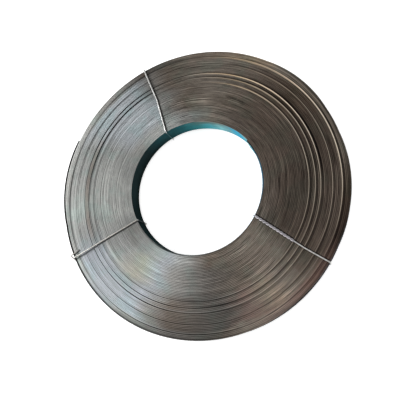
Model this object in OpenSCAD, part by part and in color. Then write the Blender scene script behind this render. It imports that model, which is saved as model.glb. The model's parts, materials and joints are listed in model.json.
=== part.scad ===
// Pancake coil of narrow resistance alloy strip, lying flat on its wire ties.
// Millimetres, +Z up. The origin is on the floor, on the coil's axis.

/* [Strip] */
// Width of the strip, which is the height of the coil
strip_w = 30; // [24:1:60]
// Thickness of the strip, which is the pitch of the laps
strip_t = 2; // [1.2:0.1:3]
// Bevel that stands for the rounded edges of the rolled strip
edge_bevel = 0.35; // [0.1:0.05:0.5]

/* [Coil] */
// Diameter of the bore
bore_d = 200; // [120:5:400]
// Number of laps between the bore and the outside
laps = 56; // [53:1:80]
// How unevenly the single laps stand, up or down
lap_scatter = 0.12; // [0:0.01:0.3]
// How far a proud lap stands above its group
proud_rise = 0.35; // [0:0.05:0.6]
// How far a sunk lap lies below its group
sunk_drop = 0.4; // [0:0.05:0.8]
// Width of the widest open gap where a new group of laps begins
group_gap = 1.25; // [0.5:0.05:1.6]
// Depth of those gaps, from the face down
group_gap_depth = 5; // [1:0.5:8]

/* [Strip ends] */
// Direction of the strip's outer end, degrees from +X
outer_end = 196; // [192:1:200]
// How far the lap underneath the loose outer end stands out past the rim
end_bulge = 0.8; // [0.4:0.1:1.2]
// Width of the open gap between that lap and the loose end, where it is widest
end_gap = 0.8; // [0.6:0.1:1.2]
// Direction of the strip's inner end, degrees from +X
inner_end = 80; // [70:1:100]
// Arc over which the bore steps back in past the inner end
inner_arc = 45; // [30:1:50]

/* [Tie wires] */
// Diameter of the tie wire
wire_d = 2; // [1:0.1:3]
// Clearance between a tie wire and the strip
wire_clear = 0.25; // [0.2:0.05:0.4]
// Radius of the wire's centre line where it turns round an edge
wire_bend = 2; // [1.8:0.1:4]
// Length of the stretch where a wire's two ends are twisted together
twist_len = 16; // [8:1:18]
// Where the right tie, which is twisted along the face, starts its twist, in from the rim
face_twist_from = 52; // [42:1:80]
// Length of wire in one turn of the twist
twist_pitch = 12; // [8:1:20]

/* [Hidden] */
// First lap of each group, counted from the bore, how far its edge lies below the inner group's, and
// the gap before it as a share of the widest. A strip keeps its width, so the underside steps by as much.
GROUPS = [[0, 0, 0], [32, 0.5, 0.4], [36, 0.9, 0.7], [39, 1.7, 1], [46, 1.9, 0.5], [52, 2.2, 0.6]];
PROUD_LAPS = [31, 35, 38, 45, 51];
SUNK_LAPS = [12, 17, 25, 29];

// Where the outer laps stand out past the rim between the ties: the direction of the bulge's middle,
// half its arc, and how far it stands out. The loose outer end and the lap underneath it do the same.
BULGES = [[37, 21, 2], [84, 16, 1.3]];
END_BULGE = [206, 27];
TAIL_BULGE = [206, 28];
// Where the gap underneath the loose end runs out
tail_gap_end = 215;

// Directions of the ties at the rim and at the bore, and how far in from the rim each one veers
LEFT_TIE = [248.5, 248.5, 66];
UPPER_TIE = [154, 157.9, 61];
RIGHT_TIE = [9, 12.1, 36];
// The left tie's spare end, bent over the rim: its direction at the rim and at its tip, and its length
LEFT_TAIL = [246.9, 246.3, 15];

bore_r = bore_d / 2;
outer_r = lap_r(laps);
wire_r = wire_d / 2;
seat = wire_clear + wire_r;
max_drop = max([for (g = GROUPS) g[1]]);
// Lowest strip edge, lying on the wires that pass underneath, and the level of the inner group's face
low_z = wire_d + wire_clear;
face_z = low_z + lap_scatter + sunk_drop + max_drop + strip_w;
top_z = face_z + lap_scatter + proud_rise;
high = 2 * strip_w;

coil_fn = 144;
wire_sides = 12;
// Steps in a bend and in a turn of the twist, and the turn below which a corner is left as it is
bend_steps = 5;
twist_steps = 12;
least_bend = 15;
// A strand's distance from the middle of its twist, which lets the two pass without touching
twist_r = wire_r + 0.05;

// ---- Helpers ----

function polar(r, a, z = 0) = [r * cos(a), r * sin(a), z];
function unit(v) = v / norm(v);
function contains(list, value) = len([for (x = list) if (x == value) 1]) > 0;

// Block between two radii, from one direction to another. bevel breaks the upper and lower edge of
// what is left inside it, which reaches from floor to roof.
module arc_block(r_in, r_out, from, to, floor = 0, roof = high, bevel = 0) {
    rotate([0, 0, from])
        rotate_extrude(angle = to - from, $fn = coil_fn)
            polygon([
                [r_in, floor + bevel],
                [r_in - bevel, floor],
                [r_in - bevel, floor - bevel],
                [r_out, floor - bevel],
                [r_out, roof + bevel],
                [r_in - bevel, roof + bevel],
                [r_in - bevel, roof],
                [r_in, roof - bevel]
            ]);
}

// ---- Coil ----

function group_of(lap) = max([for (i = [0:len(GROUPS) - 1]) if (GROUPS[i][0] <= lap) i]);
function starts_group(lap) = lap > 0 && GROUPS[group_of(lap)][0] == lap;
function gap_before(lap) = starts_group(lap) ? group_gap * GROUPS[group_of(lap)][2] : 0;
function sum(list, i = 0) = i < len(list) ? list[i] + sum(list, i + 1) : 0;
// Inner radius of a lap. The gaps between the groups take room too.
function lap_r(lap) =
    bore_r + lap * strip_t + group_gap * sum([for (g = GROUPS) if (g[0] <= lap) g[2]]);
function scatter(lap) = lap_scatter * sin(lap * 137.5 + 40 * sin(lap * 61));
function face_of(lap) =
    face_z - GROUPS[group_of(lap)][1] + scatter(lap)
    + (contains(PROUD_LAPS, lap) ? proud_rise : 0)
    - (contains(SUNK_LAPS, lap) ? sunk_drop : 0);

// Edge of one lap, from its inner to its outer corner, with the gap before it. way is 1 on the upper
// face and -1 below. The outer lap is drawn wider and square, and is then cut to its shape.
function lap_edge(lap, z, way) =
    let (r_in = lap_r(lap), r_out = r_in + strip_t, gap = gap_before(lap))
    concat(
        gap > 0 ? [[r_in - gap, z - way * group_gap_depth], [r_in, z - way * group_gap_depth]] : [],
        [[r_in, z - way * edge_bevel], [r_in + edge_bevel, z]],
        lap < laps - 1 ? [[r_out - edge_bevel, z], [r_out, z - way * edge_bevel]] : [[uncut_r, z]]
    );

tail_peak = end_bulge + strip_t + end_gap;
uncut_r = outer_r + tail_peak + 1;
upper_face = [for (lap = [0:laps - 1]) each lap_edge(lap, face_of(lap), 1)];
lower_face = [for (lap = [0:laps - 1]) each lap_edge(lap, face_of(lap) - strip_w, -1)];

module turned_coil() {
    rotate_extrude($fn = coil_fn)
        polygon(concat(upper_face, [for (i = [len(lower_face) - 1:-1:0]) lower_face[i]]));
}

// A bulge is an arc of a smaller circle, which leaves the rim at both of its ends. Its centre lies
// off the coil's axis by this much.
function bulge_shift(bulge, peak) =
    peak * (outer_r + peak / 2) / (outer_r * (1 - cos(bulge[1])) + peak);
function bulge_r(bulge, peak) = outer_r + peak - bulge_shift(bulge, peak);
// Direction as seen from the bulge's own centre
function seen_from(bulge, peak, a) =
    a + asin(bulge_shift(bulge, peak) * sin(a - bulge[0]) / bulge_r(bulge, peak));

beyond = outer_r + 20;
// A cut at the rim goes this much past the end of a bulge, and the bulge's own cut starts halfway
rim_over = 1;
outer_lap_floor = face_of(laps - 1) - strip_w;
outer_lap_roof = face_of(laps - 1);

module room_round_coil(from, to) {
    arc_block(outer_r, beyond, from, to, outer_lap_floor, outer_lap_roof, edge_bevel);
}

module room_outside_bulge(bulge, peak, from, to) {
    translate(polar(bulge_shift(bulge, peak), bulge[0]))
        arc_block(bulge_r(bulge, peak), beyond,
            seen_from(bulge, peak, from), seen_from(bulge, peak, to),
            outer_lap_floor, outer_lap_roof, edge_bevel);
}

// Past the outer end and underneath the loose end, which stays
module room_past_outer_end() {
    difference() {
        room_outside_bulge(END_BULGE, end_bulge, END_BULGE[0] - END_BULGE[1] + rim_over / 2, tail_gap_end);
        translate(polar(bulge_shift(TAIL_BULGE, tail_peak), TAIL_BULGE[0]))
            arc_block(bulge_r(TAIL_BULGE, tail_peak) - strip_t, 2 * beyond,
                seen_from(TAIL_BULGE, tail_peak, outer_end), TAIL_BULGE[0] + 60, -1, high + 1);
    }
}

// Rim between the bulges, from one bulge's end to the next one's start
rim_ends = concat(
    [TAIL_BULGE[0] + TAIL_BULGE[1] - 360],
    [for (b = BULGES) each [b[0] - b[1], b[0] + b[1]]],
    [END_BULGE[0] - END_BULGE[1]]
);

module room_outside() {
    for (i = [0:2:len(rim_ends) - 1])
        room_round_coil(rim_ends[i] - rim_over, rim_ends[i + 1] + rim_over);
    for (b = BULGES)
        room_outside_bulge(b, b[2], b[0] - b[1] + rim_over / 2, b[0] + b[1] - rim_over / 2);
    room_outside_bulge(TAIL_BULGE, tail_peak, outer_end - 5, TAIL_BULGE[0] + TAIL_BULGE[1] - rim_over / 2);
    room_past_outer_end();
}

// Past the strip's inner end the bore wall is the second lap, and steps back in to the first
inner_shift = polar(strip_t / sin(inner_arc), inner_end + inner_arc - 90);

module room_past_inner_end() {
    translate(inner_shift)
        arc_block(bore_r - 20, bore_r, inner_end, inner_end + inner_arc + 5);
}

module strip_coil() {
    color("gray")
        difference() {
            turned_coil();
            room_outside();
            room_past_inner_end();
        }
}

// ---- Tie wires ----

// Points on a bend of the wire at corner p, between the corners before and after it
function bend_at(before, p, after) =
    let (u = unit(p - before), v = unit(after - p), turn = acos(u * v))
    turn < least_bend ? [p] :
    let (
        middle = p + unit(v - u) * wire_bend / cos(turn / 2),
        back = -unit(v - u - ((v - u) * u) * u)
    )
    [for (i = [0:bend_steps])
        let (a = turn * i / bend_steps) middle + wire_bend * (back * cos(a) + u * sin(a))];

// A path of straight runs with its corners bent
function bent(path) = concat(
    [path[0]],
    [for (i = [1:len(path) - 2]) each bend_at(path[i - 1], path[i], path[i + 1])],
    [path[len(path) - 1]]
);

// One strand of a twist that lies on the stretch from start to end. It starts on that stretch,
// on the coil's side of the twist, and ends away from the coil, half a turn off.
function strand(start, end, away) =
    let (
        length = norm(end - start),
        u = (end - start) / length,
        turns = floor(length / twist_pitch) + 0.5,
        steps = ceil(turns * twist_steps)
    )
    [for (i = [1:steps])
        let (a = 360 * turns * i / steps)
        start + u * length * i / steps + twist_r * (away * (1 - cos(a)) + cross(u, away) * sin(a))];

function reversed(list) = [for (i = [len(list) - 1:-1:0]) list[i]];

// Direction of the wire at each point of its path
function heading(path, i) = unit(
    (i > 0 ? unit(path[i] - path[i - 1]) : [0, 0, 0])
    + (i < len(path) - 1 ? unit(path[i + 1] - path[i]) : [0, 0, 0])
);
// The last side direction, carried along without twisting the tube
function carried(side, u) = unit(side - (side * u) * u);

// Round wire along a path
module wire(path) {
    last = len(path) - 1;
    first_side = carried(abs(heading(path, 0)[2]) > 0.7 ? [1, 0, 0] : [0, 0, 1], heading(path, 0));
    sides = [for (i = 0, s = first_side; i <= last;
        i = i + 1, s = i <= last ? carried(s, heading(path, i)) : s) s];
    ring = [for (k = [0:wire_sides - 1]) 360 * k / wire_sides];
    points = [for (i = [0:last], a = ring)
        path[i] + wire_r * (sides[i] * cos(a) + cross(heading(path, i), sides[i]) * sin(a))];
    skin = [for (i = [0:last - 1], k = [0:wire_sides - 1])
        let (n = (k + 1) % wire_sides, at = i * wire_sides)
        each [
            [at + k, at + wire_sides + k, at + wire_sides + n],
            [at + k, at + wire_sides + n, at + n]
        ]];
    cap = [for (k = [0:wire_sides - 1]) k];
    far_cap = [for (k = [wire_sides - 1:-1:0]) last * wire_sides + k];
    polyhedron(points, concat(skin, [cap, far_cap]));
}

outer_run_r = outer_r + seat;
inner_run_r = bore_r - seat;
upper_run_z = top_z + seat;
lower_run_z = wire_r;

// Corners of a tie's loop, and the place where it veers on the face
function rim_up(tie) = polar(outer_run_r, tie[0], upper_run_z);
function rim_down(tie) = polar(outer_run_r, tie[0], lower_run_z);
function bore_down(tie) = polar(inner_run_r, tie[1], lower_run_z);
function bore_up(tie) = polar(inner_run_r, tie[1], upper_run_z);
function veer(tie) = polar(outer_r - tie[2], tie[0], upper_run_z);

// Ends of the twist on the rim, below (-1) and above (1)
twist_mid_z = face_z - max_drop - strip_w / 2;
function twist_at(tie, way) = polar(outer_run_r, tie[0], twist_mid_z + way * twist_len / 2);

// A tie whose ends are twisted together on the rim, from its spare end above the twist
function rim_tied(tie, spare_end = []) =
    let (low = twist_at(tie, -1), high = twist_at(tie, 1), away = polar(1, tie[0]))
    concat(
        spare_end,
        reversed(strand(low, high, away)),
        bent([low, rim_down(tie), bore_down(tie), bore_up(tie), veer(tie), rim_up(tie), high]),
        strand(high, low, away)
    );

module left_tie_wire() {
    tail_r = outer_run_r + 2 * twist_r;
    tip_r = tail_r - wire_r - LEFT_TAIL[2];
    tail_z = max([for (lap = [0:laps - 1]) if (lap_r(lap) + strip_t > tip_r) face_of(lap)]) + seat;
    tail = [
        polar(tip_r, LEFT_TAIL[1], tail_z),
        polar(tail_r, LEFT_TAIL[0], tail_z),
        polar(tail_r, LEFT_TIE[0], twist_mid_z + twist_len / 2)
    ];
    color("silver")
        wire(rim_tied(LEFT_TIE, concat([tail[0]], bend_at(tail[0], tail[1], tail[2]))));
}

module upper_tie_wire() {
    color("silver")
        wire(rim_tied(UPPER_TIE));
}

// The right tie's ends are twisted together along the inner half of the face
module right_tie_wire() {
    tie = RIGHT_TIE;
    outward = veer(tie) - bore_up(tie);
    twist_in = bore_up(tie) + unit(outward) * 2 * wire_bend;
    twist_out = bore_up(tie) + outward
        * (outer_r - face_twist_from - inner_run_r) / (outer_r - tie[2] - inner_run_r);
    up = [0, 0, 1];
    color("silver")
        wire(concat(
            reversed(strand(twist_in, twist_out, up)),
            bent([twist_in, bore_up(tie), bore_down(tie), rim_down(tie), rim_up(tie), veer(tie), twist_out]),
            strand(twist_out, twist_in, up)
        ));
}

strip_coil();
left_tie_wire();
upper_tie_wire();
right_tie_wire();
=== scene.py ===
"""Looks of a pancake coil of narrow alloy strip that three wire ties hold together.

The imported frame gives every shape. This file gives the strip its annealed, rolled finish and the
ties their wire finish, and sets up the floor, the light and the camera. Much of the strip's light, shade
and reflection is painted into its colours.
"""

import json
import math

import bmesh
import bpy
from bpy.props import FloatProperty, FloatVectorProperty, PointerProperty
from mathutils import Matrix, Vector


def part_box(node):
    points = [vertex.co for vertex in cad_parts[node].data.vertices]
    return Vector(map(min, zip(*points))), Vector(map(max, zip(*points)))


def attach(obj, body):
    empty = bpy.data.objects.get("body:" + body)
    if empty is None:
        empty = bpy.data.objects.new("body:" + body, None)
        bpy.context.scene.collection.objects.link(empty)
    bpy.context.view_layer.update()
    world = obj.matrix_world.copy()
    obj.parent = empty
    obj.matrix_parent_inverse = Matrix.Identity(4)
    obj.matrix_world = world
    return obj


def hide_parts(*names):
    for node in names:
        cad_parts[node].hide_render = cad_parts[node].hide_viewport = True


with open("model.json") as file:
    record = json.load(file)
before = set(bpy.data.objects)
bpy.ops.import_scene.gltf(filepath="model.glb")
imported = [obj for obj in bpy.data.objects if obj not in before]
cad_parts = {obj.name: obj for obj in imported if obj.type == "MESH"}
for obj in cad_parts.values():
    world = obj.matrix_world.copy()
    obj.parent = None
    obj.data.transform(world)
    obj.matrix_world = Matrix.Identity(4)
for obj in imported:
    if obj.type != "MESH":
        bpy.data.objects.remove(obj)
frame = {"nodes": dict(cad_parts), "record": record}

bl_info = {
    "name": "Strip coil finish",
    "version": (1, 0, 0),
    "blender": (4, 5, 0),
    "location": "View3D > Sidebar > Strip coil",
    "description": "Finishes a tied coil of alloy strip and sets up its stage",
    "category": "Object",
}

MM = 0.001

COIL = "strip_coil"
TIES = ["left_tie_wire", "upper_tie_wire", "right_tie_wire"]
# Directions of the left and the right tie, in turns from +X
LEFT_TURN = 0.69
RIGHT_TURN = 0.034
# Inside this radius the right tie is two strands twisted together
TWIST_START = 165 * MM
# Painted shadow on the face along one side of each tie: 1 for the side of the higher turn and -1 for the
# other, how dark it is, and how far from the middle of the tie it lies inside TWIST_START
TIE_SHADOW_SIDES = {
    "left_tie_wire": (1, 0.55, 1.7 * MM),
    "upper_tie_wire": (-1, 0.75, 1.7 * MM),
    "right_tie_wire": (1, 0.85, 2.7 * MM),
}
# How far from the middle of the tie it lies further out, half its width, and its soft border
TIE_SHADOW_OFFSET = 1.7 * MM
TIE_SHADOW_HALF = 0.6 * MM
TIE_SHADOW_SOFT = 0.7 * MM
# Vertices of a tie that are closer than this are one, and its faces meet sharply past this angle
WELD = 0.002 * MM
SHARP = math.radians(50)

BORE = next(mount for mount in frame["record"]["mounts"] if mount["name"] == "bore")
BORE_R = BORE["dims"]["r_mm"] * MM
COIL_LOW, COIL_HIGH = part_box(COIL)
OUTER_R = COIL_HIGH.x
TOP_Z = COIL_HIGH.z
# The ties turn aside inside FACE_R. The tones follow the upper one from VEER_R inwards.
FACE_R = 0.9 * OUTER_R
VEER_R = 0.72 * OUTER_R
# A tie's vertices this close to the bore, or to its bend on the face, count as lying there
AT_BORE = 4 * MM
AT_BEND = 1.5 * MM
# The open gaps are deeper than GAP_DEPTH, and their edges lie more than GAP_LEAST apart
GAP_DEPTH = 4 * MM
GAP_LEAST = 0.1 * MM
# Below the face the strip's rounded edge ends at the first of these depths, and its flat side is
# fully flat at the second
EDGE_END = 0.9 * MM
FLAT_START = 1.3 * MM

# Arcs where the outer laps stand out past the rim: middle and half width in degrees, and how far
BULGES = [(37, 21, 2.0 * MM), (84, 16, 1.3 * MM), (206, 28, 3.6 * MM)]
# Half the width of the border that the upper tie draws between two tones, in turns
TIE_BLUR = 0.0006


def points_of(name):
    """A node's vertices as radius, turn from 0 to 1 and height."""
    return [(math.hypot(v.co.x, v.co.y), math.atan2(v.co.y, v.co.x) / math.tau % 1, v.co.z)
            for v in frame["nodes"][name].data.vertices]


def tie_turns(name):
    """Directions of a tie outside the rim and inside the bore."""
    points = points_of(name)
    rim = [turn for radius, turn, _ in points if radius > OUTER_R]
    bore = [turn for radius, turn, _ in points if radius < BORE_R]
    return sum(rim) / len(rim), sum(bore) / len(bore)


def tie_corners(name):
    """Where a tie comes over the bore's rim and where it bends on the face, as flat vectors."""
    top = [v.co.xy for v in frame["nodes"][name].data.vertices if v.co.z > TOP_Z]
    on_face = [p for p in top if p.length < FACE_R]
    bend_r = max(p.length for p in on_face)
    at_bore = [p for p in top if p.length < BORE_R + AT_BORE]
    at_bend = [p for p in on_face if p.length > bend_r - AT_BEND]
    return [sum(points, Vector((0, 0))) / len(points) for points in (at_bore, at_bend)]


def face_height(inner, outer):
    """Height of the coil's face between two radii."""
    return max(z for radius, _, z in points_of(COIL) if inner < radius < outer)


def open_gaps():
    """Inner and outer radius of each open gap between the groups of laps, from the gaps' floors."""
    low = (COIL_LOW.z + COIL_HIGH.z) / 2
    high = COIL_HIGH.z - GAP_DEPTH
    edges = []
    for radius in sorted(radius for radius, _, z in points_of(COIL) if low < z < high):
        if not edges or radius > edges[-1] + GAP_LEAST:
            edges.append(radius)
    return list(zip(edges[::2], edges[1::2]))


# ---- Colours ----

def linear(colour):
    """Linear RGBA of a colour given as three screen values from 0 to 255."""
    def one(value):
        value /= 255
        return value / 12.92 if value <= 0.04045 else ((value + 0.055) / 1.055) ** 2.4
    return tuple(one(value) for value in colour) + (1.0,)


# Tones of the strip's edges, for their annealing colour and their painted shine and shade: warm dark
# ones, reddish and golden ones, greys
SOOT = (58, 48, 43)
UMBER = (70, 60, 52)
BROWN = (80, 71, 64)
COCOA = (92, 82, 74)
FAWN = (98, 90, 83)
TAUPE = (108, 99, 90)
STONE = (119, 110, 101)
DRAB = (126, 118, 109)
CLAY = (114, 93, 85)
RUST = (129, 111, 103)
GOLD = (147, 133, 119)
HONEY = (166, 148, 128)
SLATE = (90, 86, 82)
LEAD = (112, 110, 107)
ASH = (122, 121, 118)
PEWTER = (131, 132, 130)
NICKEL = (135, 139, 142)
STEEL = (141, 142, 140)
CREAM = (140, 138, 128)
FROST = (141, 145, 150)
SILVER = (153, 153, 150)
PALE = (165, 166, 163)

# The tones round the coil by degrees from +X, in four rings from the bore out: the edges' annealing
# colour with painted shine where they would catch the light and painted shade where they would not. Two
# tones meet sharply under the upper tie, so they stand at None, and the wire gives their direction.
INNER_RING = [
    (0, STONE), (12, FAWN), (65, COCOA), (95, FAWN), (112, DRAB), (128, ASH), (142, PEWTER),
    (None, PEWTER, PEWTER), (172, PEWTER), (184, ASH), (200, STEEL), (212, PALE), (232, PALE),
    (243, STEEL), (251, ASH), (262, PEWTER), (276, STEEL), (290, NICKEL), (300, PEWTER),
    (309, LEAD), (320, COCOA), (342, DRAB), (360, STONE)]
MIDDLE_RING = [
    (0, STONE), (12, BROWN), (50, BROWN), (85, COCOA), (108, TAUPE), (122, DRAB), (136, TAUPE),
    (148, LEAD), (None, ASH, NICKEL), (168, NICKEL), (182, NICKEL), (192, PEWTER), (212, PALE),
    (234, PALE), (248, STEEL), (258, STEEL), (274, CREAM), (286, NICKEL), (298, ASH),
    (307, LEAD), (320, SLATE), (336, TAUPE), (350, STONE), (360, STONE)]
OUTER_RING = [
    (0, TAUPE), (12, BROWN), (40, BROWN), (84, UMBER), (96, COCOA), (107, STONE), (118, DRAB),
    (128, DRAB), (142, TAUPE), (None, LEAD, LEAD), (161, NICKEL), (172, NICKEL), (188, NICKEL),
    (200, PEWTER), (212, STEEL), (228, PALE), (240, STEEL), (252, FROST), (274, NICKEL), (284, FROST),
    (291, ASH), (300, FAWN), (314, SLATE), (325, SLATE), (337, RUST), (347, GOLD), (354, DRAB),
    (360, TAUPE)]
RIM_RING = [
    (0, CLAY), (18, SOOT), (36, UMBER), (56, TAUPE), (80, TAUPE), (96, DRAB), (105, HONEY),
    (116, GOLD), (134, STONE), (148, SLATE), (None, SLATE, BROWN), (161, LEAD), (170, ASH), (182, ASH),
    (198, STEEL), (210, SILVER), (226, SILVER), (238, STEEL), (250, SILVER), (264, NICKEL),
    (275, PEWTER), (283, ASH), (291, LEAD), (316, SLATE), (324, FAWN), (332, DRAB), (348, RUST),
    (360, CLAY)]
# Each further ring, and the radii between which it takes over from the ring inside it
FURTHER_RINGS = [
    (MIDDLE_RING, 113 * MM, 131 * MM),
    (OUTER_RING, 154 * MM, 172 * MM),
    (RIM_RING, 202 * MM, 207 * MM),
]
# How far the borders of the tones wander, in turns along the laps and in millimetres across them. Along
# the laps they don't at the upper tie, and do fully WANDER_START turns away from it.
WANDER_ALONG = 0.06
WANDER_ACROSS = 26
WANDER_START = 0.03

# Blue-green on the strip's flat sides round the bore: a painted reflection of blue-green surroundings,
# bright towards +X and +Y and in painted shade towards -X and -Y
INK = (21, 32, 30)
BLACK_TEAL = (28, 40, 41)
DEEP_TEAL = (38, 52, 53)
NIGHT_TEAL = (42, 76, 80)
TEAL = (47, 92, 96)
LAGOON = (50, 110, 116)
SEA = (68, 150, 155)
AQUA = (90, 186, 198)
MIST = (146, 214, 220)
HAZE = (130, 186, 194)
CYAN = (78, 180, 212)
WALL_TONES = [
    (0, CYAN), (66, CYAN), (76, HAZE), (82, HAZE), (89, CYAN), (95, CYAN), (102, HAZE), (110, MIST),
    (120, AQUA), (130, SEA), (142, LAGOON), (152, TEAL), (168, NIGHT_TEAL), (182, DEEP_TEAL),
    (222, DEEP_TEAL), (240, BLACK_TEAL), (264, BLACK_TEAL), (284, DEEP_TEAL), (310, DEEP_TEAL),
    (330, TEAL), (360, CYAN)]
# Painted grey-brown reflection along the top of the wall, by degrees
TOP_REFLECTION = (112, 118, 104)
TOP_REFLECTIONS = [(0, 0), (92, 0), (108, 0.9), (124, 0.8), (136, 0.2), (145, 0), (360, 0)]
# How strongly painted shade darkens the foot of the wall, by degrees
FEET = [
    (0, 0.1), (135, 0.05), (150, 0.1), (164, 0.6), (185, 0.95), (225, 0.9), (250, 0.4), (300, 0.3),
    (360, 0.1)]
# Edge of the innermost lap beside the wall, painted with the wall's blue-green reflection and a line of
# painted
# shade: the radii from the bore between which it ends, its tone, and how strongly it is tinted, both by
# degrees
LIP_WIDTH = (1.9 * MM, 1.2 * MM)
LIP_TONES = [
    (0, (58, 54, 52)), (20, (62, 66, 68)), (38, (54, 96, 120)), (56, (60, 108, 130)),
    (70, (24, 40, 46)), (110, (40, 44, 42)), (250, (24, 28, 28)), (294, (30, 34, 34)),
    (304, (66, 70, 72)), (360, (58, 54, 52))]
LIPS = [
    (0, 0.6), (30, 0.8), (42, 1), (74, 1), (100, 0.6), (118, 0.2), (130, 0), (250, 0), (262, 0.4),
    (284, 1), (300, 1), (310, 0.7), (360, 0.6)]
# Outside wall: dark oxide with a painted dark reflection, and paler where it was rubbed
OUTSIDE = (42, 49, 54)
RUBBED = (74, 78, 80)

# A painted glint on a lap at each open gap: its tone, and how strongly for each gap from the bore out,
# both by degrees
GLINT_TONES = [
    (0, (194, 178, 160)), (70, (214, 200, 182)), (98, (232, 210, 182)), (112, (212, 186, 152)),
    (150, (184, 186, 188)), (300, (184, 186, 188)), (360, (194, 178, 160))]
GLINTS = [
    [(0, 0.2), (25, 0.25), (60, 0.5), (105, 0.6), (120, 0.15), (130, 0), (310, 0), (330, 0.15),
     (360, 0.2)],
    [(0, 0.3), (15, 0.2), (40, 0.3), (80, 0.5), (100, 0.5), (118, 0.25), (132, 0.1), (145, 0),
     (360, 0)],
    [(0, 0.3), (25, 0.2), (45, 0.45), (75, 1), (108, 1), (124, 0.8), (138, 0.1), (150, 0), (325, 0.1),
     (360, 0.3)],
    [(0, 0.15), (50, 0.3), (85, 0.3), (110, 0.05), (125, 0), (340, 0), (360, 0.15)],
    [(0, 0.1), (20, 0.15), (50, 0.8), (80, 1), (95, 0.6), (115, 0.4), (130, 0), (270, 0), (288, 0.3),
     (300, 0), (360, 0.1)],
]
# In millimetres: where the glint lies from the inner edge of each gap, half its width up to a fifth of
# a turn, and how much more that is further round
GLINT_PLACES = (-0.6, -0.8, -0.7, -0.6, -1.1)
GLINT_HALF = 0.45
GLINT_WIDER = 0.35
# Darkest tone, of painted shade and painted shadow, and how strongly it lies as painted shade on each
# gap and the laps beside it, by degrees for each gap from the bore out
SHADE = (10, 9, 9)
SHADES = [
    [(0, 0.5), (35, 0.65), (80, 0.45), (112, 0.1), (145, 0.05), (165, 0.3), (220, 0.4), (250, 0.3),
     (275, 0.25), (290, 0.1), (306, 0.05), (324, 0.4), (345, 0.3), (360, 0.5)],
    [(0, 0.5), (60, 0.6), (110, 0.5), (130, 0.2), (147, 0.3), (157, 0.85), (165, 1), (198, 1),
     (214, 0.7), (225, 0.6), (250, 0.15), (268, 0.05), (290, 0), (308, 0.05), (324, 0.5), (340, 0.45),
     (360, 0.5)],
    [(0, 0.3), (30, 0.6), (50, 0.95), (80, 0.8), (110, 0.4), (130, 0), (147, 0.3), (157, 0.85),
     (165, 1), (192, 1), (206, 0.6), (225, 0.4), (245, 0.1), (265, 0), (310, 0), (324, 0.5), (338, 0.4),
     (360, 0.3)],
    [(0, 0.5), (20, 0.65), (42, 0.3), (80, 0.1), (105, 0.35), (128, 0), (150, 0.15), (166, 0.6),
     (188, 0.75), (200, 0.4), (222, 0.15), (250, 0.05), (280, 0.1), (305, 0.05), (345, 0.15),
     (360, 0.5)],
    [(0, 0.5), (30, 0.65), (65, 0.7), (80, 0.2), (92, 0), (135, 0.15), (153, 0.6), (172, 0.7),
     (190, 0.5), (212, 0.8), (234, 0.6), (252, 0.45), (268, 0.1), (345, 0.05), (360, 0.5)],
]
# The shade lies SHADE_IN inside the middle of its gap and reaches SHADE_HALF to each side. From the
# turns SHADE_OUT_START past +X to SHADE_OUT_END it lies SHADE_OUT further out, SHADE_LESS narrower.
SHADE_IN = 0.5 * MM
SHADE_HALF = 1.5 * MM
SHADE_OUT = 1.8 * MM
SHADE_LESS = 0.5 * MM
SHADE_OUT_END = (0.40, 0.33)
SHADE_OUT_START = (0.88, 0.94)
# Radii between which the outermost lap begins, from the rim, and how strongly painted shade darkens that
# lap by degrees
LAST_LAP = (-3.6 * MM, -2.6 * MM)
RIM_SHADE = [
    (0, 0.5), (85, 0.6), (104, 0.1), (115, 0), (190, 0.1), (200, 1), (235, 1), (262, 0.9), (280, 0.75),
    (300, 0.5), (335, 0.3), (360, 0.5)]
# Greenish stains multiply the tone's channels by these numbers, and how strong they are
STAIN = (0.88, 1.02, 1.0, 1.0)
STAIN_STRENGTH = 0.6
# Brown tint between the second and the third gap, and how strong it is by degrees
TINT = (140, 112, 94)
TINTS = [(0, 0), (185, 0), (205, 0.3), (235, 0.3), (250, 0), (360, 0)]

# Wire of the ties: bright, tarnished, and where it is twisted
WIRE = (203, 204, 203)
TARNISHED_WIRE = (150, 143, 132)
TWISTED_WIRE = (160, 154, 166)

# Lamps: name, place, length of the sides in metres and power in watts
LAMPS = [
    ("window", (-1.55, -0.95, 1.35), 0.7, 34),
    ("ceiling", (0.2, 0.2, 2.4), 2.4, 18),
]
WORLD_STRENGTH = 0.55
# What the floor adds to its lit colour so that it is white, and how far it lies below the coil
FLOOR_GLOW = 0.65
FLOOR_DROP = 0.2 * MM
# Point of the face at which the camera is aimed, from its middle
AIM = Vector((21.1 * MM, -9.93 * MM, 0))
SENSOR_WIDTH = 36


# ---- Shader expressions ----

class Value:
    """A node's output. Arithmetic on it adds the Math nodes."""

    def __init__(self, shader, socket):
        self.shader = shader
        self.socket = socket

    def math(self, operation, *values):
        return self.shader.node("ShaderNodeMath", {"operation": operation}, dict(enumerate(values)))

    def size(self):
        return self.math("ABSOLUTE", self)

    def above(self, least):
        return self.math("MAXIMUM", self, least)

    def __add__(self, other):
        return self.math("ADD", self, other)

    def __radd__(self, other):
        return self.math("ADD", other, self)

    def __sub__(self, other):
        return self.math("SUBTRACT", self, other)

    def __rsub__(self, other):
        return self.math("SUBTRACT", other, self)

    def __mul__(self, other):
        return self.math("MULTIPLY", self, other)

    def __rmul__(self, other):
        return self.math("MULTIPLY", other, self)

    def __truediv__(self, other):
        return self.math("DIVIDE", self, other)

    def __pow__(self, other):
        return self.math("POWER", self, other)


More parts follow.
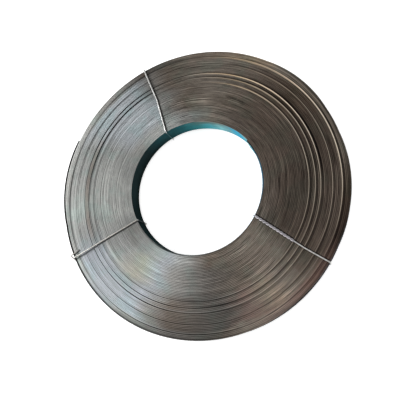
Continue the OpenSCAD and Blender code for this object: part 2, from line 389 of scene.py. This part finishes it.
class Shader:
    """One material's node tree."""

    def __init__(self, name):
        self.material = bpy.data.materials.new(name)
        self.material.use_nodes = True
        self.tree = self.material.node_tree
        self.tree.nodes.clear()

    def node(self, kind, settings=None, inputs=None, output=0):
        """Adds a node, its settings before its values and links, and gives one of its outputs."""
        node = self.tree.nodes.new(kind)
        for name, value in (settings or {}).items():
            if name == "stops":
                set_stops(node.color_ramp, value)
            else:
                setattr(node, name, value)
        for name, value in (inputs or {}).items():
            if isinstance(value, Value):
                self.tree.links.new(value.socket, node.inputs[name])
            else:
                node.inputs[name].default_value = value
        return None if output is None else Value(self, node.outputs[output])

    def place(self):
        """Sets x, y, z and radius of the point on the piece, in metres, and its turn from +X."""
        point = self.node("ShaderNodeTexCoord", output="Object")
        self.x, self.y, self.z = (
            self.node("ShaderNodeSeparateXYZ", inputs={0: point}, output=axis) for axis in "XYZ")
        self.radius = (self.x * self.x + self.y * self.y) ** 0.5
        self.turn = self.x.math("ARCTAN2", 0 - self.y, 0 - self.x) / math.tau + 0.5

    def vector(self, x, y, z):
        return self.node("ShaderNodeCombineXYZ", inputs={0: x, 1: y, 2: z})

    def noise(self, vector, scale, detail, roughness=0.5):
        inputs = {"Vector": vector, "Scale": scale, "Detail": detail, "Roughness": roughness}
        return self.node("ShaderNodeTexNoise", None, inputs)

    def rise(self, value, low, high):
        """0 below low, 1 above high and smooth between, or the other way round when low > high."""
        inputs = {
            0: value, 1: min(low, high), 2: max(low, high), 3: float(low > high), 4: float(low < high)}
        return self.node("ShaderNodeMapRange", {"interpolation_type": "SMOOTHSTEP"}, inputs)

    def band(self, value, middle, half, soft):
        """1 within half of the middle, falling to 0 over the soft width outside."""
        return self.rise((value - middle).size(), half + soft, half)

    def ramp(self, factor, stops):
        return self.node("ShaderNodeValToRGB", {"stops": stops}, {0: factor})

    def tones(self, turn, ring, tie_turn=None):
        """Tones given by degrees round the coil."""
        return self.ramp(turn, round_stops(ring, tie_turn))

    def strength(self, stops):
        """A strength given by degrees round the coil."""
        return self.ramp(
            self.turn, [(degrees / 360, (value, value, value, 1)) for degrees, value in stops])

    def mix(self, factor, a, b, blend="MIX"):
        settings = {"data_type": "RGBA", "blend_type": blend, "clamp_factor": True}
        return self.node("ShaderNodeMix", settings, {0: factor, 6: a, 7: b}, output=2)

    def scaled(self, colour, factor):
        """A colour with its channels multiplied by a value."""
        return self.mix(1.0, colour, self.vector(factor, factor, factor), "MULTIPLY")

    def surface(self, value):
        self.node("ShaderNodeOutputMaterial", None, {"Surface": value}, output=None)
        return self.material


def set_stops(ramp, stops):
    """Gives a colour ramp its stops, from the lowest up."""
    while len(ramp.elements) > 1:
        ramp.elements.remove(ramp.elements[-1])
    ramp.elements[0].position, ramp.elements[0].color = stops[0]
    for position, colour in stops[1:]:
        ramp.elements.new(position).color = colour


def round_stops(ring, tie_turn):
    """Ramp stops from tones placed by degrees. Two tones at None meet at the upper tie's turn."""
    stops = []
    for degrees, *tones in ring:
        if degrees is None:
            stops += [(tie_turn - TIE_BLUR, linear(tones[0])), (tie_turn + TIE_BLUR, linear(tones[1]))]
        else:
            stops.append((degrees / 360, linear(tones[0])))
    return stops


# ---- Settings ----

class StripSettings(bpy.types.PropertyGroup):
    """Finish of the rolled strip."""

    lap_pitch: FloatProperty(
        name="Lap pitch", description="Thickness of one lap", default=2 * MM, unit="LENGTH")
    roughness: FloatProperty(
        name="Roughness", description="Roughness of the strip's edges", default=0.42, subtype="FACTOR")
    streak: FloatProperty(
        name="Streaks", description="Contrast of the single laps", default=0.55, subtype="FACTOR")


class WireSettings(bpy.types.PropertyGroup):
    """Finish of the tie wire."""

    colour: FloatVectorProperty(
        name="Colour", description="Colour of the wire", default=linear(WIRE)[:3],
        subtype="COLOR")
    roughness: FloatProperty(
        name="Roughness", description="Roughness of the wire", default=0.34, subtype="FACTOR")


class StageSettings(bpy.types.PropertyGroup):
    """Floor, light and camera."""

    floor_side: FloatProperty(
        name="Floor side", description="Length of the floor's sides", default=8.0, unit="LENGTH")
    distance: FloatProperty(
        name="Distance", description="From the middle of the coil's face to the camera",
        default=0.647, unit="LENGTH")
    elevation: FloatProperty(
        name="Elevation", description="Of the camera over the coil's face",
        default=math.radians(67.3), unit="ROTATION")
    roll: FloatProperty(
        name="Roll", description="Turn of the camera about its own axis",
        default=-0.9313, unit="ROTATION")
    lens: FloatProperty(
        name="Lens", description="Focal length of the camera in millimetres", default=39.95)


# ---- Strip ----

def ring_tones(s):
    """Annealing colour with painted shine and shade on the edges, by direction in four rings that merge.
    """
    at_rim, at_bore = tie_turns("upper_tie_wire")
    veered = s.turn - s.rise(s.radius, VEER_R, BORE_R) * (at_bore - at_rim)
    wander = s.noise(s.vector(s.radius * 30, s.turn * 9, 0.0), 1.0, 3.0) - 0.5
    along = wander * WANDER_ALONG * s.rise((veered - at_rim).size(), 0.0, WANDER_START)
    turn = veered + along
    radius = s.radius + wander * WANDER_ACROSS * MM
    tone = s.tones(turn, INNER_RING, at_rim)
    for ring, start, end in FURTHER_RINGS:
        tone = s.mix(s.rise(radius, start, end), tone, s.tones(turn, ring, at_rim))
    return tone


def tints(s, tone):
    """Brown tint between two gaps, and greenish stains, over the annealing tones."""
    second, third = open_gaps()[1:3]
    tint = s.band(s.radius, (second[1] + third[0]) / 2, 1.5 * MM, 2.5 * MM) * s.strength(TINTS)
    tone = s.mix(tint, tone, linear(TINT))
    stain = s.rise(s.noise(s.vector(s.x, s.y, s.z), 28.0, 3.0, 0.6), 0.46, 0.62)
    return s.mix(stain * STAIN_STRENGTH, tone, STAIN, "MULTIPLY")


def lap_lines(s, east, north, settings):
    """Brightness of the edges: one grey for each lap, broken along its length, finer rolling marks and
    soft patches. Gives the laps and the marks by themselves too.

    The lines show twice as strongly towards +X and +Y, where the edges are painted dark; there they are
    partly painted glints of single laps.
    """
    def streaks(across, along, detail):
        return s.noise(s.vector(across, east * along, north * along), 1.0, detail)

    lap = s.radius / settings.lap_pitch
    laps = streaks(lap * 1.5, 2, 1.0) - 0.5
    marks = streaks(lap * 2.8, 10, 2.0) - 0.5
    bands = streaks(lap * 0.22, 1.2, 1.0) - 0.5
    dark_laps = s.rise(streaks(lap * 1.4, 2.2, 0.0), 0.38, 0.3)
    pale_laps = s.rise(streaks(lap * 1.4 + 7, 2.2, 0.0), 0.64, 0.72)
    patches = s.noise(s.vector(s.x, s.y, s.z), 160.0, 4.0, 0.6) - 0.5
    grain = s.noise(s.vector(s.x, s.y, s.z), 600.0, 1.0) - 0.5
    dark_side = s.rise(east * 0.5 + north * 0.87, -0.3, 0.2)
    lines = (laps * 1.3 + marks * 1.8 + pale_laps * 0.7 - dark_laps * 0.45) * (0.75 + dark_side * 0.9)
    contrast = lines + bands * 0.3 + patches * 0.5 + grain * 0.5
    return (1 + contrast * settings.streak).above(0.1), laps, marks


def gap_lines(s, colour):
    """Painted glints and painted shade along the open gaps."""
    glint_tone = s.tones(s.turn, GLINT_TONES)
    outward = s.rise(s.turn, *SHADE_OUT_END) + s.rise(s.turn, *SHADE_OUT_START)
    for (inner, outer), glints, place, shades in zip(open_gaps(), GLINTS, GLINT_PLACES, SHADES):
        middle = (inner + outer) / 2 - SHADE_IN + outward * SHADE_OUT
        near = (s.radius - middle).size() / (SHADE_HALF - outward * SHADE_LESS)
        shade = s.rise(near, 1.15, 0.85) * s.strength(shades)
        half = (GLINT_HALF + s.rise(s.turn, 0.2, 0.26) * GLINT_WIDER) * MM
        glint = s.rise((s.radius - inner - place * MM).size() / half, 2, 1) * s.strength(glints)
        colour = s.mix(shade, colour, linear(SHADE))
        colour = s.mix(glint, colour, glint_tone)
    return colour


def painted_tie_shadow(s, colour):
    """Painted shadow on the face along one side of each tie."""
    for name, (side, strength, inner_offset) in TIE_SHADOW_SIDES.items():
        bore, bend = tie_corners(name)
        along = (bend - bore).normalized()
        outward = bend.normalized()
        inner = (s.y - bend.y) * along.x - (s.x - bend.x) * along.y
        outer = s.y * outward.x - s.x * outward.y
        past_bend = s.rise(s.radius, bend.length - MM, bend.length + MM)
        off = inner * (1 - past_bend) + outer * past_bend
        this_way = s.rise(s.x * outward.x + s.y * outward.y, 0, MM)
        inside = s.rise(s.radius, TWIST_START, TWIST_START - 5 * MM)
        offset = off * side - inside * (inner_offset - TIE_SHADOW_OFFSET)
        beside = s.band(offset, TIE_SHADOW_OFFSET, TIE_SHADOW_HALF, TIE_SHADOW_SOFT) * this_way
        colour = s.mix(beside * strength, colour, linear(SHADE))
    return colour


def rim_radius(east, north):
    """Radius of the rim in each direction, with its bulges."""
    rim = OUTER_R
    for degrees, half, height in BULGES:
        middle = math.radians(degrees)
        least = math.cos(math.radians(half))
        within = (east * math.cos(middle) + north * math.sin(middle) - least).above(0)
        rim = rim + within * (height / (1 - least))
    return rim


def end_laps(s, east, north, colour):
    """Painted shade on the outermost lap, and the wall's painted reflection and shade on the innermost
    lap.
    """
    last = s.rise(s.radius - rim_radius(east, north), *LAST_LAP)
    colour = s.mix(last * s.strength(RIM_SHADE), colour, linear(SHADE))
    lip_start, lip_end = LIP_WIDTH
    lip = s.rise(s.radius, BORE_R + lip_start, BORE_R + lip_end) * s.strength(LIPS)
    return s.mix(lip, colour, s.tones(s.turn, LIP_TONES))


def wall_places(s):
    """1 on the strip's flat sides round the bore, and 1 on those of the outside."""
    bore_face = face_height(BORE_R, BORE_R + 1.5 * MM)
    rim_face = face_height(OUTER_R - 1.5 * MM, OUTER_R + 1.5 * MM)
    inside = s.rise(s.z, bore_face - EDGE_END, bore_face - FLAT_START)
    inside = inside * s.rise(s.radius, BORE_R + 3.2 * MM, BORE_R + 2.6 * MM)
    outside = s.rise(s.z, rim_face - EDGE_END, rim_face - FLAT_START)
    outside = outside * s.rise(s.radius, OUTER_R - 2.5 * MM, OUTER_R - 1.5 * MM)
    return inside, outside


def wall_colour(s, east, north, outside):
    """Painted blue-green reflection and shade round the bore, and dark oxide with painted reflection
    outside.
    """
    cloud = s.noise(s.vector(s.turn * 40, s.z * 90, 0.0), 1.0, 3.0) - 0.5
    height = s.z + cloud * 20 * MM
    wall = s.tones(s.turn + cloud * 0.03, WALL_TONES)
    top = s.rise(height, 0.4 * TOP_Z, TOP_Z) * s.strength(TOP_REFLECTIONS)
    wall = s.mix(top, wall, linear(TOP_REFLECTION))
    foot = s.rise(height, 0.7 * TOP_Z, 0.1 * TOP_Z) * s.strength(FEET)
    wall = s.mix(foot, wall, linear(INK))
    rubbed = s.rise(s.noise(s.vector(east * 14, north * 14, s.z * 260), 1.0, 4.0, 0.6), 0.5, 0.75)
    return s.mix(outside, wall, s.mix(rubbed, linear(OUTSIDE), linear(RUBBED)))


def strip_material(settings):
    """Annealed strip: lap lines, painted shine and shade round the coil, painted reflection on the flat
    sides.
    """
    s = Shader("annealed strip")
    s.place()
    east = s.x / s.radius
    north = s.y / s.radius

    brightness, laps, marks = lap_lines(s, east, north, settings)
    edges = s.scaled(tints(s, ring_tones(s)), brightness)
    edges = gap_lines(s, edges)
    edges = painted_tie_shadow(s, edges)
    edges = end_laps(s, east, north, edges)
    relief = s.node("ShaderNodeBump", None, {
        "Strength": 0.5, "Distance": 0.06 * MM, "Height": laps + marks})
    metal = s.node("ShaderNodeBsdfPrincipled", None, {
        "Base Color": edges,
        "Metallic": 1.0,
        "Roughness": settings.roughness + marks * 0.25,
        "Anisotropic": 0.7,
        "Normal": relief,
    })

    inside, outside = wall_places(s)
    rolled = s.noise(s.vector(east * 6, north * 6, s.z * 1500), 1.0, 3.0) - 0.5
    rolling = s.node("ShaderNodeBump", None, {
        "Strength": 0.4, "Distance": 0.05 * MM, "Height": rolled})
    # Round the bore the flat sides' colour is a painted reflection with painted shade at its foot
    oxide_and_reflection = s.node("ShaderNodeBsdfPrincipled", None, {
        "Base Color": s.scaled(wall_colour(s, east, north, outside), 1 + rolled * 0.7),
        "Metallic": 0.0,
        "Roughness": 0.6 + rolled * 0.3,
        "Specular IOR Level": 0.0,
        "Normal": rolling,
    })
    mixed = s.node("ShaderNodeMixShader", None, {0: inside + outside, 1: metal, 2: oxide_and_reflection})
    return s.surface(mixed)


class STRIPCOIL_OT_strip(bpy.types.Operator):
    """Gives the coil its annealed strip finish"""

    bl_idname = "stripcoil.strip"
    bl_label = "Finish the strip"

    def execute(self, context):
        coil = frame["nodes"][COIL]
        coil.material_slots[0].material = strip_material(context.scene.stripcoil_strip)
        return {"FINISHED"}


# ---- Ties ----

def wire_material(settings):
    """Bright wire with faint drawing marks, tarnished in patches and darker and browner on the left tie,
    duller where it is twisted, and with the wall's painted reflection and shade where it runs through
    the bore."""
    s = Shader("tie wire")
    s.place()
    dull = s.noise(s.vector(s.x, s.y, s.z), 400.0, 3.0)
    tarnish = s.rise(dull, 0.35, 0.7) * 0.5 + s.rise((s.turn - LEFT_TURN).size(), 0.06, 0.03) * 0.3
    colour = s.mix(tarnish, tuple(settings.colour) + (1.0,), linear(TARNISHED_WIRE))
    twisted = s.rise(s.radius, TWIST_START + 2 * MM, TWIST_START - 2 * MM)
    twisted = twisted * s.rise((s.turn - RIGHT_TURN).size(), 0.03, 0.02)
    colour = s.mix(twisted * 0.5, colour, linear(TWISTED_WIRE))
    # Through the bore the wire takes the wall's painted reflection and shade
    in_bore = s.rise(s.radius, BORE_R + 1.5 * MM, BORE_R) * s.rise(s.z, TOP_Z + 0.6 * MM, TOP_Z - 2 * MM)
    in_bore = in_bore * s.rise(s.z, 7 * MM, 11 * MM)
    scratches = s.node("ShaderNodeBump", None, {"Strength": 0.3, "Distance": 0.05 * MM, "Height": dull})
    shader = s.node("ShaderNodeBsdfPrincipled", None, {
        "Base Color": s.mix(in_bore, colour, s.tones(s.turn, WALL_TONES)),
        "Metallic": 1 - in_bore,
        "Roughness": settings.roughness + 0.2 * dull + 0.45 * in_bore,
        "Normal": scratches,
    })
    return s.surface(shader)


def build_tie(name, wire):
    """Smooth wire on the tie's own mesh, in place of its loose triangles."""
    shape = bmesh.new()
    shape.from_mesh(frame["nodes"][name].data)
    bmesh.ops.remove_doubles(shape, verts=shape.verts, dist=WELD)
    for face in shape.faces:
        face.smooth = True
        face.material_index = 0
    mesh = bpy.data.meshes.new("smooth_" + name)
    shape.to_mesh(mesh)
    shape.free()
    mesh.set_sharp_from_angle(angle=SHARP)
    mesh.materials.append(wire)
    tie = bpy.data.objects.new("smooth_" + name, mesh)
    bpy.context.scene.collection.objects.link(tie)
    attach(tie, "root")
    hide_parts(name)


class STRIPCOIL_OT_ties(bpy.types.Operator):
    """Makes the three ties smooth and gives them their wire finish"""

    bl_idname = "stripcoil.ties"
    bl_label = "Finish the ties"

    def execute(self, context):
        wire = wire_material(context.scene.stripcoil_wire)
        for name in TIES:
            build_tie(name, wire)
        return {"FINISHED"}


# ---- Stage ----

def floor_material():
    """Pale floor, white to the camera and in reflections, with the shadow left on it."""
    s = Shader("pale floor")
    camera, glossy, transmission = (
        s.node("ShaderNodeLightPath", output=name)
        for name in ("Is Camera Ray", "Is Glossy Ray", "Is Transmission Ray"))
    seen = camera.above(glossy).above(transmission)
    matt = s.node("ShaderNodeBsdfDiffuse", None, {"Color": (0.8, 0.8, 0.8, 1)})
    glow = s.node("ShaderNodeEmission", None, {"Color": (1, 1, 1, 1), "Strength": seen * FLOOR_GLOW})
    return s.surface(s.node("ShaderNodeAddShader", None, {0: matt, 1: glow}))


def build_floor(settings):
    mesh = bpy.data.meshes.new("floor")
    shape = bmesh.new()
    bmesh.ops.create_grid(shape, x_segments=1, y_segments=1, size=settings.floor_side / 2,
                          matrix=Matrix.Translation((0, 0, -FLOOR_DROP)))
    shape.to_mesh(mesh)
    shape.free()
    mesh.materials.append(floor_material())
    floor = bpy.data.objects.new("floor", mesh)
    bpy.context.scene.collection.objects.link(floor)


def add_softbox(name, place, side, power):
    """Square area lamp aimed at the middle of the coil."""
    lamp = bpy.data.lights.new(name, "AREA")
    lamp.shape = "SQUARE"
    lamp.size = side
    lamp.energy = power
    box = bpy.data.objects.new(name, lamp)
    box.location = place
    box.rotation_euler = (-Vector(place)).to_track_quat("-Z", "Y").to_euler()
    bpy.context.scene.collection.objects.link(box)


def build_light():
    for lamp in LAMPS:
        add_softbox(*lamp)
    world = bpy.data.worlds.new("studio")
    world.use_nodes = True
    background = world.node_tree.nodes["Background"]
    background.inputs["Color"].default_value = (1, 1, 1, 1)
    background.inputs["Strength"].default_value = WORLD_STRENGTH
    bpy.context.scene.world = world


def build_camera(settings):
    """Camera off +X, aimed a little past the middle of the face."""
    face = Vector((0, 0, face_height(BORE_R, BORE_R + 20 * MM)))
    place = face + settings.distance * Vector(
        (math.cos(settings.elevation), 0, math.sin(settings.elevation)))
    aim = face + AIM
    data = bpy.data.cameras.new("camera")
    data.lens = settings.lens
    data.sensor_width = SENSOR_WIDTH
    camera = bpy.data.objects.new("camera", data)
    turn = (aim - place).to_track_quat("-Z", "Y").to_matrix().to_4x4()
    camera.matrix_world = Matrix.Translation(place) @ turn @ Matrix.Rotation(settings.roll, 4, "Z")
    bpy.context.scene.collection.objects.link(camera)
    bpy.context.scene.camera = camera


class STRIPCOIL_OT_stage(bpy.types.Operator):
    """Builds the floor, the light and the camera"""

    bl_idname = "stripcoil.stage"
    bl_label = "Build the stage"

    def execute(self, context):
        settings = context.scene.stripcoil_stage
        build_floor(settings)
        build_light()
        build_camera(settings)
        context.scene.view_settings.view_transform = "Standard"
        return {"FINISHED"}


# ---- Panel and registration ----

class STRIPCOIL_PT_panel(bpy.types.Panel):
    """Lists the steps and their settings"""

    bl_idname = "STRIPCOIL_PT_panel"
    bl_label = "Strip coil"
    bl_space_type = "VIEW_3D"
    bl_region_type = "UI"
    bl_category = "Strip coil"

    def draw(self, context):
        for operator, group in STEPS:
            self.layout.operator(operator.bl_idname)
            settings = getattr(context.scene, group)
            for name in settings.__annotations__:
                self.layout.prop(settings, name)


STEPS = [
    (STRIPCOIL_OT_strip, "stripcoil_strip"),
    (STRIPCOIL_OT_ties, "stripcoil_wire"),
    (STRIPCOIL_OT_stage, "stripcoil_stage"),
]
GROUPS = {
    "stripcoil_strip": StripSettings,
    "stripcoil_wire": WireSettings,
    "stripcoil_stage": StageSettings,
}
CLASSES = [*GROUPS.values(), *(operator for operator, _ in STEPS), STRIPCOIL_PT_panel]


def register():
    for each in CLASSES:
        bpy.utils.register_class(each)
    for name, group in GROUPS.items():
        setattr(bpy.types.Scene, name, PointerProperty(type=group))


def unregister():
    for name in GROUPS:
        delattr(bpy.types.Scene, name)
    for each in reversed(CLASSES):
        bpy.utils.unregister_class(each)


def main():
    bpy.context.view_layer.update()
    register()
    bpy.ops.stripcoil.strip()
    bpy.ops.stripcoil.ties()
    bpy.ops.stripcoil.stage()


if __name__ == "__main__":
    main()
